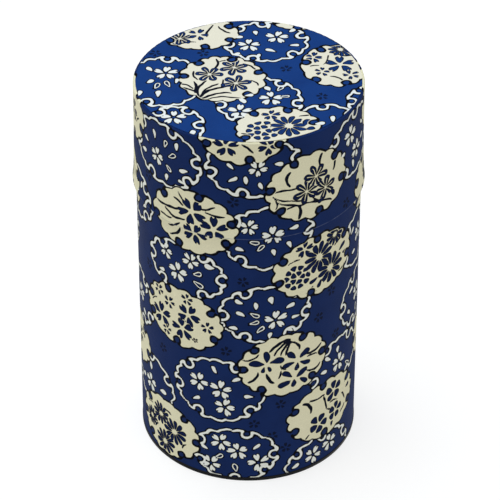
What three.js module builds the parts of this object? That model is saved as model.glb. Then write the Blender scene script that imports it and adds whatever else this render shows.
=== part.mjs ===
// A round, paper-covered tea and spice tin with an outer lid and a drawn inner lid.
// Millimetres, +Z up, origin at the centre of the base. Every piece is a body of revolution.

import * as THREE from 'three';

// Driving dimensions.
const HEIGHT = 149;            // base to the top of the lid
const RADIUS = 40;             // over the paper of the body
const LID_HEIGHT = 39;         // mouth of the lid to its top
const LID_RADIUS = 40.2;       // over the paper of the lid, at its top
const TINPLATE = 0.3;          // sheet thickness of every pressed piece
const PAPER = 0.2;             // mulberry paper with its paste
const GLUE = 0.05;             // glue line between paper and tinplate
const CLEARANCE = 0.1;         // sliding and assembly gaps

const LID_TAPER = 0.7;         // how much wider the lid's wall is at its mouth, over its whole height
const LID_HEM = 0.35;          // the extra width of the last few millimetres at the mouth
const LID_HEM_REACH = 2.5;     // height over which that width dies away
const LID_TURN_IN = 6;         // paper turned up inside the lid's mouth
const LID_FOLD_OVER = 3.5;     // side paper folded in over the lid's top
const LID_EDGE_ROUND = 0.5;    // rounding of the lid's top edge
const TOP_DISC_RADIUS = 39.3;  // the separate paper disc on top
const TOP_DISC_PAPER = 0.16;
const PLATE_SKIRT = 3;         // depth of the top plate's skirt
const CURVE_HEIGHTS = [1.5, 5, 12, 24];  // above the mouth, where the lid's curved wall gets a point
const SOFT_EDGE = 0.15;        // the small rounding of thin pressed and cut edges

const SLEEVE_FOOT = 78;        // how far down the inner sleeve reaches inside the body
const SLEEVE_RIM = 139.5;      // top of the sleeve's curled rim
const SLEEVE_CURL = 0.7;       // radius of that curl
const SLEEVE_CURL_TURN = 250;  // how far round the rim is curled, in degrees

const PAN_DEPTH = 8.6;         // flange of the inner lid down to its floor
const PAN_CORNER = 1;          // rounding between its wall and floor
const PAN_BEAD_RADIUS = 23.5;  // middle of the stiffening bead pressed into the floor
const PAN_BEAD_HEIGHT = 0.6;
const PAN_BEAD_FLAT = 1.6;     // half the width of the bead's flat top
const PAN_BEAD_SLOPE = 1;      // width of each of its sloping sides
const FLANGE_CURL = 0.35;      // bead round the edge of the inner lid's flange
const FLANGE_CURL_TURN = 170;

const KNOB_HEIGHT = 10;
const KNOB_RADIUS = 8.5;
const KNOB_NECK = 3.4;
const KNOB_FOOT = 4.8;         // radius of the knob's foot
const KNOB_CAP = 2.6;          // from the fullest part of the cap to the knob's top
const KNOB_LIP = 0.8;          // rounding of the cap's edge
const KNOB_WAIST = [[1.1, 0.7], [0.2, 2], [0, 3.4], [0.9, 5]];  // wider than the neck by, at a height
const KNOB_DOME = [[3, 1.9], [5.6, 2.5]];                       // in from the edge by, above the lip
const WASHER_RADIUS = 7;
const WASHER_THICKNESS = 0.4;
const RIVET_RADIUS = 1.5;
const RIVET_HOLE = 1.7;
const RIVET_HEAD_RADIUS = 3.2;
const RIVET_HEAD_HEIGHT = 1;
const RIVET_HEAD_SLOPE = 0.9;  // how far the head's dome comes in
const RIVET_END_ROOM = 0.5;    // from the shank's end to the bottom of the knob's hole

const RIM_HEIGHT = 1.5;        // lacquered rim that shows under the body's paper
const RIM_PROUD = 0.15;        // how far it stands out past the paper
const RIM_ROUND = 0.25;        // rounding of the rim's lower edge
const BASE_RECESS = 3;         // standing ring down from the bottom panel
const STANDING_RING = 38.9;    // inner radius of the standing ring
const STANDING_RING_LEAN = 0.2;
const PANEL_CORNER = 1;        // rounding between the bottom panel and the standing ring

const FACETS = 60;             // sides of the large round pieces, the same on all, so that walls nest
const SMALL_FACETS = 24;       // sides of the knob, washer and rivet

// Radii and heights that follow from them.
const lidMouth = HEIGHT - LID_HEIGHT;
const bodyTop = lidMouth - CLEARANCE;
const tubeOuter = RADIUS - PAPER - GLUE;
const tubeInner = tubeOuter - TINPLATE;
const sleeveOuter = tubeInner - CLEARANCE;
const sleeveInner = sleeveOuter - TINPLATE;
const discBottom = HEIGHT - TOP_DISC_PAPER;
const foldTop = discBottom - GLUE;
const foldBottom = foldTop - PAPER;
const plateTop = foldBottom - GLUE;
const plateBottom = plateTop - TINPLATE;
const flangeBottom = SLEEVE_RIM + CLEARANCE;
const panFloor = flangeBottom - PAN_DEPTH;
const panOuter = sleeveOuter - 2 * SLEEVE_CURL - 1.5 * CLEARANCE;
const panInner = panOuter - TINPLATE;
const lidTubeInset = PAPER + GLUE;
const lidStripInset = lidTubeInset + TINPLATE + GLUE;

const tin = { color: 0xb9bab8, roughness: 0.32, metalness: 1 };
const lacquer = { color: 0x0b0b0d, roughness: 0.35, metalness: 0.1 };
const paper = { color: 0x1c3157, roughness: 0.7, metalness: 0 };

const part = new THREE.Group();

// Points of a circular arc in the radius and height plane, angles in degrees.
function arc(r, z, radius, from, to, steps = 4) {
  return Array.from({ length: steps + 1 }, (_, i) => {
    const angle = THREE.MathUtils.degToRad(from + ((to - from) * i) / steps);
    return [r + radius * Math.cos(angle), z + radius * Math.sin(angle)];
  });
}

// Turns a profile, listed anticlockwise as [radius, height], once round the tin's axis.
// A profile that doesn't start and end on the axis is closed on itself.
function turned(name, profile, finish, facets = FACETS) {
  const onAxis = profile[0][0] === 0;
  const outline = onAxis ? profile : [...profile, profile[0]];
  const points = outline.map(([r, z]) => new THREE.Vector2(r, z));
  const geometry = new THREE.LatheGeometry(points, facets).rotateX(Math.PI / 2);
  const mesh = new THREE.Mesh(geometry, new THREE.MeshStandardMaterial(finish));
  mesh.name = name;
  part.add(mesh);
}

// Outer radius of the lid's paper at a height above its mouth: a long taper and a short hem.
function lidRadius(above) {
  const taper = LID_TAPER * (1 - above / LID_HEIGHT) ** 2;
  return LID_RADIUS + taper + LID_HEM * Math.exp(-above / LID_HEM_REACH);
}

// The lid's wall, moved inward by an inset, between two heights above its mouth.
function lidWall(inset, heights) {
  return heights.map((above) => [lidRadius(above) - inset, lidMouth + above]);
}

function body() {
  turned('body_tube', [
    [tubeInner, RIM_HEIGHT / 2],
    [tubeOuter, RIM_HEIGHT / 2],
    [tubeOuter, bodyTop],
    [tubeInner, bodyTop],
  ], tin);

  // Bottom end: a recessed panel whose rim is a channel hemmed round the tube's lower edge.
  const rimOuter = RADIUS + RIM_PROUD;
  const channelOuter = tubeOuter + CLEARANCE;
  const channelInner = tubeInner - CLEARANCE;
  const channelFloor = RIM_HEIGHT / 2 - CLEARANCE;
  const panelEdge = STANDING_RING - STANDING_RING_LEAN - PANEL_CORNER;
  turned('bottom_end', [
    [0, BASE_RECESS],
    ...arc(panelEdge, BASE_RECESS - PANEL_CORNER, PANEL_CORNER, 90, 0, 2),
    [STANDING_RING, 0],
    [rimOuter - RIM_ROUND, 0],
    [rimOuter, RIM_ROUND],
    [rimOuter, RIM_HEIGHT],
    [channelOuter, RIM_HEIGHT],
    [channelOuter, channelFloor],
    [channelInner, channelFloor],
    [channelInner, BASE_RECESS + TINPLATE],
    [0, BASE_RECESS + TINPLATE],
  ], lacquer);

  turned('body_paper', [
    [RADIUS - PAPER, RIM_HEIGHT + CLEARANCE],
    [RADIUS, RIM_HEIGHT + CLEARANCE],
    [RADIUS, bodyTop],
    [RADIUS - PAPER, bodyTop],
  ], paper);

  // Inner sleeve: the neck that the lid slides over, with its rim curled inward.
  const curlMiddle = SLEEVE_RIM - SLEEVE_CURL;
  turned('inner_sleeve', [
    [sleeveInner, SLEEVE_FOOT],
    [sleeveOuter, SLEEVE_FOOT],
    ...arc(sleeveOuter - SLEEVE_CURL, curlMiddle, SLEEVE_CURL, 0, SLEEVE_CURL_TURN, 6),
    [sleeveInner, curlMiddle - SLEEVE_CURL - TINPLATE],
  ], tin);
}

function innerLid() {
  const flangeTop = flangeBottom + TINPLATE;
  const edge = [sleeveOuter - SLEEVE_CURL + CLEARANCE, flangeBottom + FLANGE_CURL];
  const beadFoot = PAN_BEAD_FLAT + PAN_BEAD_SLOPE;
  const bead = (z) => [
    [PAN_BEAD_RADIUS - beadFoot, z],
    [PAN_BEAD_RADIUS - PAN_BEAD_FLAT, z + PAN_BEAD_HEIGHT],
    [PAN_BEAD_RADIUS + PAN_BEAD_FLAT, z + PAN_BEAD_HEIGHT],
    [PAN_BEAD_RADIUS + beadFoot, z],
  ];
  turned('inner_lid_pan', [
    [RIVET_HOLE, panFloor],
    ...bead(panFloor),
    ...arc(panOuter - PAN_CORNER, panFloor + PAN_CORNER, PAN_CORNER, -90, 0, 2),
    [panOuter, flangeBottom - 2 * TINPLATE],
    [panOuter + CLEARANCE, flangeBottom - TINPLATE / 3],
    [panOuter + 2 * CLEARANCE, flangeBottom],
    ...arc(edge[0], edge[1], FLANGE_CURL, -90, FLANGE_CURL_TURN, 4),
    [panOuter, flangeTop],
    [panInner, flangeTop - 2 * TINPLATE],
    ...arc(panInner - PAN_CORNER, panFloor + TINPLATE + PAN_CORNER, PAN_CORNER, 0, -90, 2),
    ...bead(panFloor + TINPLATE).reverse(),
    [RIVET_HOLE, panFloor + TINPLATE],
  ], tin);

  const washerBottom = panFloor + TINPLATE + GLUE;
  const washerTop = washerBottom + WASHER_THICKNESS;
  turned('knob_washer', [
    [RIVET_HOLE, washerBottom],
    [WASHER_RADIUS, washerBottom],
    [WASHER_RADIUS, washerTop - SOFT_EDGE],
    [WASHER_RADIUS - SOFT_EDGE, washerTop],
    [RIVET_HOLE, washerTop],
  ], tin, SMALL_FACETS);

  // Knob: a foot, a waist and a domed cap, with a blind hole for the rivet.
  const foot = washerTop + GLUE;
  const lipMiddle = foot + KNOB_HEIGHT - KNOB_CAP;
  const holeDepth = KNOB_HEIGHT / 2;
  turned('inner_lid_knob', [
    [0, foot + holeDepth],
    [RIVET_HOLE, foot + holeDepth],
    [RIVET_HOLE, foot],
    [KNOB_FOOT, foot],
    ...KNOB_WAIST.map(([wider, height]) => [KNOB_NECK + wider, foot + height]),
    [KNOB_RADIUS - 1.5 * KNOB_LIP, lipMiddle - KNOB_LIP],
    ...arc(KNOB_RADIUS - KNOB_LIP, lipMiddle, KNOB_LIP, -60, 75, 4),
    ...KNOB_DOME.map(([inward, height]) => [KNOB_RADIUS - inward, lipMiddle + height]),
    [0, foot + KNOB_HEIGHT],
  ], tin, SMALL_FACETS);

  // Rivet: its head is under the floor and its shank ends inside the knob.
  const headTop = panFloor - GLUE;
  const shankEnd = foot + holeDepth - RIVET_END_ROOM;
  turned('knob_rivet', [
    [0, headTop - RIVET_HEAD_HEIGHT],
    [RIVET_HEAD_RADIUS - RIVET_HEAD_SLOPE, headTop - RIVET_HEAD_HEIGHT],
    [RIVET_HEAD_RADIUS, headTop - RIVET_HEAD_HEIGHT / 2],
    [RIVET_HEAD_RADIUS, headTop],
    [RIVET_RADIUS, headTop],
    [RIVET_RADIUS, shankEnd],
    [0, shankEnd],
  ], tin, SMALL_FACETS);
}

function lid() {
  const wallTop = foldTop - LID_EDGE_ROUND - lidMouth;
  const tubeHeights = [TINPLATE, ...CURVE_HEIGHTS, wallTop];
  turned('lid_tube', [
    ...lidWall(lidTubeInset, tubeHeights),
    ...lidWall(lidTubeInset + TINPLATE, tubeHeights).reverse(),
  ], tin);

  // Top plate: pressed like a shallow cap, its skirt inside the tube.
  const skirt = LID_RADIUS - lidStripInset;
  turned('lid_top_plate', [
    [0, plateBottom],
    [skirt - TINPLATE, plateBottom],
    [skirt - TINPLATE, plateBottom - PLATE_SKIRT],
    [skirt, plateBottom - PLATE_SKIRT],
    [skirt, plateTop - SOFT_EDGE],
    [skirt - SOFT_EDGE, plateTop],
    [0, plateTop],
  ], tin);

  // Side paper: turned up inside the mouth, up the wall and folded in over the top edge.
  const paperHeights = [PAPER, ...CURVE_HEIGHTS, wallTop];
  const stripHeights = [PAPER, LID_TURN_IN / 2, LID_TURN_IN];
  const foldStart = LID_RADIUS - LID_EDGE_ROUND;
  const foldEnd = foldStart - LID_FOLD_OVER;
  turned('lid_side_paper', [
    [lidRadius(0) - lidStripInset - PAPER / 2, lidMouth],
    [lidRadius(0) - PAPER / 2, lidMouth],
    ...lidWall(0, paperHeights),
    [LID_RADIUS - SOFT_EDGE, foldTop - SOFT_EDGE],
    [foldStart, foldTop],
    [foldEnd, foldTop],
    [foldEnd, foldBottom],
    [foldStart, foldBottom],
    [LID_RADIUS - lidTubeInset, foldBottom - SOFT_EDGE],
    [LID_RADIUS - PAPER, lidMouth + wallTop - PAPER / 2],
    ...lidWall(PAPER, paperHeights.slice(0, -1)).reverse(),
    ...lidWall(lidStripInset, stripHeights),
    ...lidWall(lidStripInset + PAPER, stripHeights).reverse(),
  ], paper);

  turned('lid_top_paper', [
    [0, discBottom],
    [TOP_DISC_RADIUS, discBottom],
    [TOP_DISC_RADIUS, HEIGHT],
    [0, HEIGHT],
  ], paper);
}

body();
innerLid();
lid();

export default part;
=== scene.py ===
"""A round tea and spice tin covered with printed mulberry paper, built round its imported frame."""

import math

import bpy
import numpy as np
from mathutils import Matrix, Vector


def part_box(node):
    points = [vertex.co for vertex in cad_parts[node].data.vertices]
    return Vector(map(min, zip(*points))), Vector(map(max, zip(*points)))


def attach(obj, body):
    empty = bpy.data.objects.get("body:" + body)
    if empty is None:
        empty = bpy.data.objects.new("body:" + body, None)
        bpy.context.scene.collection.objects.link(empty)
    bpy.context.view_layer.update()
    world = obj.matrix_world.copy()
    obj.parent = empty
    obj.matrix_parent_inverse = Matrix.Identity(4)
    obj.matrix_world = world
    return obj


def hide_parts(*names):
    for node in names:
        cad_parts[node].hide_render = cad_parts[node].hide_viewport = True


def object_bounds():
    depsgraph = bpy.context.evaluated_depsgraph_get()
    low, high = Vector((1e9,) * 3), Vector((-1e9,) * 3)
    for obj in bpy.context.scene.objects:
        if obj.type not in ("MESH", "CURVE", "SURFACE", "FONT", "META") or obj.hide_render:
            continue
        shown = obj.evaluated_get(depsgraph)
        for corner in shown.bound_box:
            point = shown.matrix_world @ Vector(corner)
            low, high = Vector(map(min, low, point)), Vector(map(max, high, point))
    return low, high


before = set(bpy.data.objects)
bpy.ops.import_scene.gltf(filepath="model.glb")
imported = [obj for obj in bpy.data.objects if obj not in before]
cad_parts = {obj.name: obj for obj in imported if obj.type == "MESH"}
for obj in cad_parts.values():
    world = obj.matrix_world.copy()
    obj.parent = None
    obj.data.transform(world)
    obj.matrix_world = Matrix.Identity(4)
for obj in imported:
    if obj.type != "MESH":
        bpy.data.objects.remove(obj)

MM = 0.001
cad_low, cad_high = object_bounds()

# ---------------------------------------------------------------- sizes, in millimetres


def extent(node):
    """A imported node's foot, head and radius."""
    low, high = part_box(node)
    return low.z / MM, high.z / MM, high.x / MM


TOP = cad_high.z / MM
BODY_RADIUS = extent("body_paper")[2]
LID_MOUTH = extent("lid_side_paper")[0]
LID_HEIGHT = TOP - LID_MOUTH
TIN = 0.3                # tinplate sheet
PAPER = 0.2              # pasted paper
GLUE = 0.05
GAP = 0.1                # room between pressed pieces
LID_RADIUS = extent("lid_top_plate")[2] + TIN + PAPER + 2 * GLUE
LID_TAPER = 0.7          # how much wider the lid's wall is at its mouth, over its whole height
LID_HEM = 0.35           # the extra width of the last few millimetres
LID_HEM_REACH = 2.5
LID_TURN_IN = 6          # paper turned up inside the lid's mouth
LID_FOLD_OVER = 3.5      # side paper folded in over the lid's top
LID_EDGE_ROUND = 0.5
EDGE = 0.04              # softened edges of cut paper

LAP = 0.12               # how far the overlapping end of the paper stands up
LAP_WIDTH = 12
LAP_TURN = 150           # where the paper's ends overlap, in degrees from the front towards +X
LAP_RAMP = 1.2           # the soft slope where a lap begins
SHEET_END = math.radians(LAP_TURN) * BODY_RADIUS
SHEET_LENGTH = 2 * math.pi * BODY_RADIUS
SHEET_GAP = 0.05         # half the width of the step where a sheet ends
PLEATS = 84              # gathers where the side paper is folded over the lid's round edge
PLEAT_DEPTH = 0.09
SEAM_STEP = 0.16         # the tinplate's lapped seam
SEAM_WIDTH = 5
SEAM_TURN = 160
SEAM_FADE = 0.5          # the height over which the seam comes and goes
SHARP_TURN = 38          # an edge that turns by more degrees than this is shaded sharp

WELL_RADIUS = 38.7       # the wall of the recess under the base
WELL_ROUND = 1
BASE_BEAD = (30, 1.5, 0.35)    # a pressed ring: its radius, half its width and its height
PAN_BEAD = (23.5, 2.6, 0.6)
HEM_ROUND = 0.3          # the rim that the tin stands on
HEM_LIP = 0.12
SLEEVE_RIM = 139.5
SLEEVE_CURL = 0.7
SLEEVE_CURL_TURN = 250   # how far round the neck's rim is curled, in degrees
PAN_RADIUS = 37.8
PAN_DEPTH = 8.6
PAN_CORNER = 1
FLANGE_BEND = 0.2
FLANGE_CURL = 0.35
FLANGE_CURL_TURN = 260
KNOB_RADIUS = 8.5
KNOB_NECK = 3.4
KNOB_FOOT = (1.3, 1.1)   # how far the foot spreads, and the height over which it does
KNOB_FLARE_START = 3     # the height where the waist begins to widen towards the cap
KNOB_CAP = 2.6           # from the middle of the knob's lip to the top of its dome
KNOB_LIP = 0.8
KNOB_SHOULDER = 62       # where the lip's round meets the dome, in degrees
KNOB_DOME = 1.75         # how far the dome rises
RIVET_HOLE = 1.7
RIVET_RADIUS = 1.5
RIVET_HEAD_RADIUS = 3.2
RIVET_HEAD_HEIGHT = 1
RIVET_RIM = 0.2
WASHER_ROUND = 0.15
PLATE_ROUND = (0.2, 0.4)  # the lid plate's corner, outside and inside

# The studio, in metres.
CAMERA_PLACE = Vector((0, -0.7459, 0.6172))
CAMERA_PITCH = 35.97     # degrees below the horizon
CAMERA_YAW = 0.0007      # radians
CAMERA_ROLL = 0.0021
CAMERA_LENS = 182.7
WORLD_STRENGTH = 0.36
KEY_WATTS = 18
FLOOR_HALF = 2.5
FLOOR_DROP = 0.0001
FLOOR_GLOW = 0.75
STRIP_GLOW = (0.12, 0.62)  # the darkest and brightest of the floor as bare metal reflects it

# ---------------------------------------------------------------- the print
# Places are millimetres on the flat sheet: along the sheet from the front, then up from the base.
# A medallion is its middle, its half width and half height, and the angles of the round bays in its edge.

CREAM = [
    ((22, 128), (16, 12.8), (116, 44, -12, -76, -139, 174)),
    ((-20.5, 113.2), (16.4, 12.6), (139, 78, 12, -33, -111, -170)),
    ((26.2, 92.8), (17.4, 12.4), (151, 92, 33, -15, -101, -162)),
    ((-26.5, 69.4), (17, 12.3), (110, 32, -26, -94, -156, 164)),
    ((13.5, 52.6), (16.7, 13.2), (137, 63, 3, -44, -125, -178)),
    ((32, 25), (17.2, 12.4), (157, 97, 33, -26, -93, -155)),
    ((-34.6, 14.4), (15.8, 12.2), (139, 49, -3, -56, -131, -173)),
    ((-2.2, 153), (15.6, 12.2), (-150, -80, -28, 60, 140)),
    ((-57, 142), (12.5, 10.5), (-20, -80, 60, 160)),
    ((60, 113), (14, 12), (165, 120, -140, -60, 20)),
    ((-58, 43), (13.5, 10.5), (-15, 45, 120, -80, 180)),
]
RINGS = [
    ((-33, 136.4), (16.2, 12), (71, 8, -40, -113, -172, 141)),
    ((2, 138.5), (16.4, 11.2), (-167, -106, 16, 100, -60)),
    ((7, 109.3), (16, 12.8), (141, 2, -130, 65, -60)),
    ((-24.7, 91), (16.4, 10.6), (127, 179, -1, -129, -57, 55)),
    ((6.2, 76.4), (16.4, 11.8), (118, -177, -11, -120, 45, -55)),
    ((-11.3, 41.5), (16.9, 13.6), (136, 64, -173, -118, -40, 15)),
    ((-5, 12), (15.6, 11.8), (155, 72, 0, -155, -90, -40)),
    ((-44.5, 31.5), (14.6, 11.6), (29, 85, 140, -150)),
    ((38.2, 43), (14.8, 10.6), (-161, 57, 120, -60)),
    ((30, 2.5), (15.8, 11), (141, 23, 90)),
    ((45, 135), (15.4, 12.6), (149, -118, 90, 30, -30)),
    ((-53, 110.5), (13.5, 10.8), (35, 0, -48, 110, 180, -110)),
    ((53, 91), (15, 11), (138, -150, 70, 0, -70)),
    ((-53, 64), (12, 11), (-30, -75, 60, 130, 180)),
    ((52.8, 64.5), (13.6, 11.2), (178, 110, 50, -20, -110)),
]

# A flower's kind: how many petals, then a petal's middle, half length and half width as shares of the radius.
BLOSSOM = (5, 0.61, 0.39, 0.25)
LILY = (6, 0.57, 0.45, 0.225)  # the only kind with veined petals
DAISY = (11, 0.62, 0.38, 0.145)
BUD = (1, 0, 0.85, 0.85)
ROSE = (5, 0.58, 0.36, 0.29)
STAR = (5, 0.62, 0.34, 0.2)
PETAL = (1, 0, 1, 0.47)
HOLLOW = (1, 0, 1, -0.42)  # a negative width draws the outline alone


def hydrangea(u, v, radius):
    """A round head of buds: five in the middle and ten round them."""
    head = []
    for count, share in ((5, 0.36), (10, 0.8)):
        for clock in np.linspace(0, 2 * math.pi, count, endpoint=False):
            reach = share * radius
            place = (u + reach * math.cos(clock), v + reach * math.sin(clock))
            head.append((*place, 0.22 * radius, math.degrees(clock)))
    return head


# A flower is its place, its radius and its turn in degrees, listed under its kind.
WHITE_FLOWERS = {
    BLOSSOM: [
        (-35.7, 134.1, 3.3, 80), (3.1, 138.7, 3.2, 60), (8.3, 110.8, 4.1, 20), (0.2, 114.9, 3.2, 75),
        (-32.3, 95.8, 3.2, 80), (-21.3, 96.2, 3.4, 60), (-26.8, 89.1, 4.1, 90), (9.8, 73.7, 4.2, 92),
        (-18.6, 43.7, 3.9, 70), (-10, 42, 4.2, 85), (-8.6, 34.1, 3.9, 75), (-10.3, 17.6, 3.9, 65),
        (-4, 13.9, 3.9, 100), (3.9, 8.7, 4.1, 110), (-13.8, 6.6, 3.7, 60), (-44.4, 29.1, 4, 90),
        (38.5, 42.4, 4, 80), (25.6, 5.8, 3.8, 60), (33.9, 7.4, 3.8, 100), (41.8, 139.1, 3.9, 90),
        (46.5, 131.2, 3.6, 70), (-52, 112, 3.6, 80), (53, 92, 3.9, 80), (-52.5, 65, 3.8, 85),
        (53.5, 65, 4, 75),
    ],
    PETAL: [
        (-36.9, 142.4, 1.5, 95), (-26.1, 142, 1.6, 100), (-23.2, 133.3, 1.6, 190), (-41.9, 137.9, 1.3, 150),
        (-43.6, 132.4, 1.5, 10), (-30.7, 127.6, 1.3, 85), (-24.4, 128.4, 1.3, 160), (-6.1, 139.5, 1.3, 140),
        (-1.1, 134.1, 1.5, 100), (-5.3, 134.1, 1.6, 30), (3.9, 131.6, 1.3, 120), (10.2, 139.9, 1.5, 0),
        (15.6, 112.9, 1.6, 0), (14.3, 105.4, 1.5, 120), (8.8, 103.3, 1.5, 95), (-3.2, 104.9, 1.5, 160),
        (-14, 95.8, 1.9, 180), (-34.8, 86.6, 1.5, 20), (-2.8, 77, 1.7, 150), (8.1, 82.4, 1.7, 105),
        (-3.6, 82.4, 1.5, 150), (2.5, 80.6, 1.4, 90), (-5.4, 70.6, 1.6, 0), (15.2, 78.7, 1.7, 20),
        (17, 73.7, 1.4, 180), (14.8, 68.4, 1.5, 140), (7.7, 67, 1.4, 80), (-12.3, 50.8, 1.6, 110),
        (-4.4, 47.4, 1.7, 20), (0.2, 39.8, 1.6, 170), (-19.6, 35.8, 1.6, 30), (3.1, 16.2, 1.6, 40),
        (-16.5, 13.7, 1.5, 150), (-44, 37, 1.7, 100), (-35.7, 29.8, 1.9, 10), (-51, 28.2, 1.6, 20),
        (37.7, 48.6, 1.5, 90), (31.8, 47.4, 1.6, 150), (30.2, 42.4, 1.6, 0), (18.1, 3.7, 1.6, 30),
        (37, 133, 1.5, 30), (52, 139, 1.6, 140), (44, 126.5, 1.5, 90), (52.5, 133, 1.4, 20),
        (-46, 107, 1.5, 30), (-57, 105, 1.5, 120), (-46.5, 115.5, 1.5, 70), (-58.5, 115, 1.5, 20),
        (46.5, 96, 1.5, 40), (59, 96.5, 1.5, 120), (48, 86, 1.5, 0), (-46.5, 69, 1.5, 50),
        (-58, 70, 1.5, 100), (-59, 60, 1.5, 30), (-48.5, 58.5, 1.5, 140), (47, 69.5, 1.6, 20),
        (45.5, 60.5, 1.5, 130), (59, 70, 1.5, 60), (60, 60, 1.5, 0),
    ],
    HOLLOW: [
        (-31.1, 141, 1.3, 60), (-28.2, 137.4, 1.6, 30), (-29.8, 131.6, 1.2, -40), (4.3, 105.4, 1.5, 40),
        (2.3, 107.9, 1.5, -10), (-18.3, 91.2, 1.6, 20), (-18.2, 87, 1.8, -20), (2.4, 76.6, 1.6, -30),
        (2.1, 73.1, 1.5, 10), (4.3, 70.1, 1.5, 50), (-10.7, 10.8, 1.5, 30), (-4.8, 6.2, 1.6, 110),
        (45.2, 37.9, 1.6, -40), (58.5, 86.5, 1.5, -50), (53.5, 57.5, 1.5, 90),
    ],
}
DARK_FLOWERS = {
    BLOSSOM: [
        (-20.2, 117.8, 5.5, 50), (-11.8, 112.9, 5, 21), (-19.2, 108.8, 4.7, 65), (20.4, 101.4, 3.4, 90),
        (-22.4, 71.8, 4.9, 63), (-35.4, 66.4, 5, 20), (-25, 64.8, 4.9, 30), (-7.6, 147.4, 4.4, 90),
        (6.4, 147.6, 3.6, 60), (-55, 142, 4.2, 0), (54, 108, 3.6, 90), (-57, 43, 4.4, 60),
    ],
    LILY: [(20.3, 126.2, 4.9, 200), (24.2, 131.2, 4.7, 115), (28.2, 125, 4.6, 15)],
    DAISY: [
        (26.6, 95.8, 6.3, 15), (32.2, 88.8, 6.2, 0), (34.2, 101.8, 4.4, -40), (-29.8, 14.4, 5.6, 18),
        (-35, 7, 5.2, 0), (-37.4, 18.8, 4.8, 20), (-44, 13.5, 4, 0), (60, 115, 5, 0),
    ],
    BUD: [*hydrangea(17.6, 90.2, 5.2)],
    ROSE: [(28, 19.6, 4.6, 60), (35.8, 31, 4.7, 90), (37, 20.8, 4.1, 80)],
    STAR: [
        (-22.8, 78.6, 2.5, 90), (-31, 73.8, 2.9, 70), (-14.8, 68.7, 2.6, 90), (-36.6, 76.4, 2.6, 60),
        (-32.6, 61, 2.3, 90), (-19.6, 61.6, 1.2, 40), (-64, 39, 3, 20), (67, 108.5, 3, 45),
        (-51.5, 47, 2.4, 30),
    ],
    PETAL: [
        (26.6, 120.6, 1.5, 200), (31.5, 121.5, 1.4, -50), (24.2, 86.6, 1.6, 200), (27, 84, 1.6, 250),
        (23.4, 83.2, 1.3, 230), (38.5, 94.5, 1.8, 30), (40.5, 91, 1.6, -10), (6.5, 57.5, 2.3, 90),
        (10.3, 55.1, 2.6, 8), (3, 54.6, 2.6, 176), (5.4, 51.8, 1.3, 250), (7.7, 51.8, 1.3, 290),
        (16, 56.3, 2.3, 130), (21, 55.8, 2.3, 40), (14.6, 52.4, 2.1, 190), (21.2, 51.6, 2.1, -20),
        (18, 50.6, 1.5, 265), (14.2, 48, 2.2, 140), (13.2, 43.8, 2.4, 200), (20, 47.4, 2.4, 35),
        (16.8, 43.6, 1.6, 270), (20.6, 43.6, 1.9, -40), (34.8, 15.8, 1.1, 80), (44.2, 31, 1.4, 60),
        (45.6, 26.8, 1.3, 20),
    ],
}

# Small blossoms that hardly show, printed on the open ground.
FAINT_PLACES = [
    (-5, 125), (-2, 91), (-8, 60), (12, 35), (2, 27), (9, 20.5), (14, 14), (-35, 51), (27, 69), (36, 57),
    (39, 113), (-43, 84), (-41, 123), (33, 78), (62, 53), (64, 128),
]

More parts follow.
